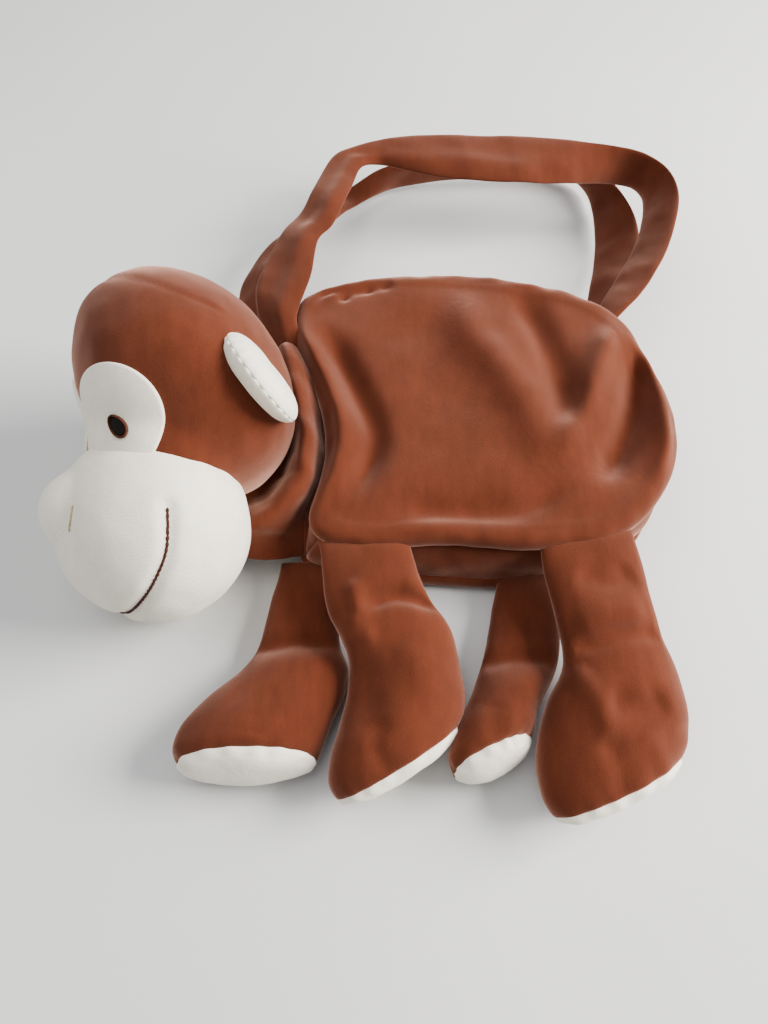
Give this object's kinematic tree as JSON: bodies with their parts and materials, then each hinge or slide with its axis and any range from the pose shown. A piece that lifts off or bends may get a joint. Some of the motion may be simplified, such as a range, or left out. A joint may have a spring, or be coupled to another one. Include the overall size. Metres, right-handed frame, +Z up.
{
  "type": "plush animal handbag",
  "caption": "Plush monkey handbag lying on its side: padded zip pouch with carrying straps, stuffed head on a soft neck, folding ears and jointed stuffed legs.",
  "frame": {"origin": "middle of the footprint, on the surface the bag lies on", "axes": "+Z up off the surface, out of the monkey's left side; +Y towards the carrying straps; -Y towards the feet; -X towards the head, +X towards the tail"},
  "size_m": [0.3804, 0.4758, 0.1389],
  "materials": {
    "brown_plush": "short-pile velour plush",
    "cream_plush": "short-pile velour plush",
    "stuffing": "loose polyester fibre",
    "lining_cloth": "plain woven polyester",
    "zip_tape": "twill tape",
    "zip_teeth": "moulded",
    "zip_metal": "nickel-plated",
    "dark_thread": "embroidery thread",
    "tan_thread": "embroidery thread"
  },
  "bodies": {
    "pouch": {"near_side_panel": "brown_plush", "far_side_panel": "brown_plush", "near_wadding": "stuffing", "far_wadding": "stuffing", "belly_gusset": "brown_plush", "rump_gusset": "brown_plush", "chest_gusset": "brown_plush", "far_top_strip": "brown_plush", "near_top_strip": "brown_plush", "near_zip_tape": "zip_tape", "far_zip_tape": "zip_tape", "near_zip_teeth": "zip_teeth", "far_zip_teeth": "zip_teeth", "zip_rear_stop": "zip_metal", "zip_front_stop": "zip_metal", "pocket_lining": "lining_cloth"},
    "zip_slider": {"zip_slider": "zip_metal"},
    "zip_pull": {"zip_pull_tab": "zip_metal"},
    "near_strap": {"near_strap": "brown_plush"},
    "far_strap": {"far_strap": "brown_plush"},
    "neck": {"neck_sleeve": "brown_plush"},
    "head": {"head_cover": "brown_plush", "head_stuffing": "stuffing", "muzzle_cover": "cream_plush", "muzzle_stuffing": "stuffing", "near_eye_patch": "cream_plush", "far_eye_patch": "cream_plush", "near_eye": "dark_thread", "far_eye": "dark_thread", "mouth_stitching": "dark_thread", "near_nostril": "tan_thread", "far_nostril": "tan_thread"},
    "near_ear": {"near_ear_front": "cream_plush", "near_ear_back": "cream_plush"},
    "far_ear": {"far_ear_front": "cream_plush", "far_ear_back": "cream_plush"},
    "near_front_leg": {"near_front_leg": "brown_plush"},
    "near_front_foot": {"near_front_foot": "brown_plush", "near_front_foot_stuffing": "stuffing", "near_front_sole": "cream_plush"},
    "near_rear_leg": {"near_rear_leg": "brown_plush"},
    "near_rear_foot": {"near_rear_foot": "brown_plush", "near_rear_foot_stuffing": "stuffing", "near_rear_sole": "cream_plush"},
    "far_front_leg": {"far_front_leg": "brown_plush"},
    "far_front_foot": {"far_front_foot": "brown_plush", "far_front_foot_stuffing": "stuffing", "far_front_sole": "cream_plush"},
    "far_rear_leg": {"far_rear_leg": "brown_plush"},
    "far_rear_foot": {"far_rear_foot": "brown_plush", "far_rear_foot_stuffing": "stuffing", "far_rear_sole": "cream_plush"}
  },
  "joints": [
    {"name": "near_front_hip", "type": "hinge", "parent": "pouch", "child": "near_front_leg", "pos_m": [-0.01641, -0.1098, 0.041], "axis": [-1, 0, 0], "range_deg": [0, 80]},
    {"name": "near_front_ankle", "type": "hinge", "parent": "near_front_leg", "child": "near_front_foot", "pos_m": [0.00309, -0.1608, 0.0445], "axis": [-1, 0, 0], "range_deg": [0, 35]},
    {"name": "near_rear_hip", "type": "hinge", "parent": "pouch", "child": "near_rear_leg", "pos_m": [0.11059, -0.1098, 0.041], "axis": [-1, 0, 0], "range_deg": [0, 80]},
    {"name": "near_rear_ankle", "type": "hinge", "parent": "near_rear_leg", "child": "near_rear_foot", "pos_m": [0.11559, -0.1628, 0.0445], "axis": [-1, 0, 0], "range_deg": [0, 35]},
    {"name": "far_front_hip", "type": "hinge", "parent": "pouch", "child": "far_front_leg", "pos_m": [-0.04941, -0.1158, 0.009], "axis": [-1, 0, 0], "range_deg": [0, 25]},
    {"name": "far_front_ankle", "type": "hinge", "parent": "far_front_leg", "child": "far_front_foot", "pos_m": [-0.05991, -0.1578, 0.0235], "axis": [-1, 0, 0], "range_deg": [0, 30]},
    {"name": "far_rear_hip", "type": "hinge", "parent": "pouch", "child": "far_rear_leg", "pos_m": [0.07459, -0.1158, 0.009], "axis": [-1, 0, 0], "range_deg": [0, 25]},
    {"name": "far_rear_ankle", "type": "hinge", "parent": "far_rear_leg", "child": "far_rear_foot", "pos_m": [0.06459, -0.1628, 0.0235], "axis": [-1, 0, 0], "range_deg": [0, 30]},
    {"name": "neck_lift", "type": "hinge", "parent": "pouch", "child": "neck", "pos_m": [-0.04041, -0.0368, 0.044], "axis": [0, 1, 0], "range_deg": [0, 22]},
    {"name": "head_nod", "type": "hinge", "parent": "neck", "child": "head", "pos_m": [-0.06441, -0.0328, 0.04], "axis": [0, 0, 1], "range_deg": [-4, 12]},
    {"name": "near_ear_fold", "type": "hinge", "parent": "head", "child": "near_ear", "pos_m": [-0.07574, -0.04111, 0.10875], "axis": [-0.3542, 0.664, 0.6585], "range_deg": [-12, 12]},
    {"name": "far_ear_fold", "type": "hinge", "parent": "head", "child": "far_ear", "pos_m": [-0.12986, 0.00855, 0.02957], "axis": [-0.3542, 0.664, 0.6585], "range_deg": [-8, 8]},
    {"name": "near_strap_swing", "type": "hinge", "parent": "pouch", "child": "near_strap", "pos_m": [-0.06241, 0.0422, 0.043], "axis": [0.986, 0.1651, -0.0243], "range_deg": [0, 85]},
    {"name": "far_strap_swing", "type": "hinge", "parent": "pouch", "child": "far_strap", "pos_m": [-0.06041, 0.0642, 0.013], "axis": [0.9962, 0.0873, -0.0051], "range_deg": [0, 5]},
    {"name": "zip_slide", "type": "slide", "parent": "pouch", "child": "zip_slider", "axis": [1, 0, 0], "range_m": [-0.08, 0]},
    {"name": "zip_pull_flip", "type": "hinge", "parent": "zip_slider", "child": "zip_pull", "pos_m": [0.08119, 0.0934, 0.024], "axis": [0, 0, 1], "range_deg": [0, 100]}
  ]
}
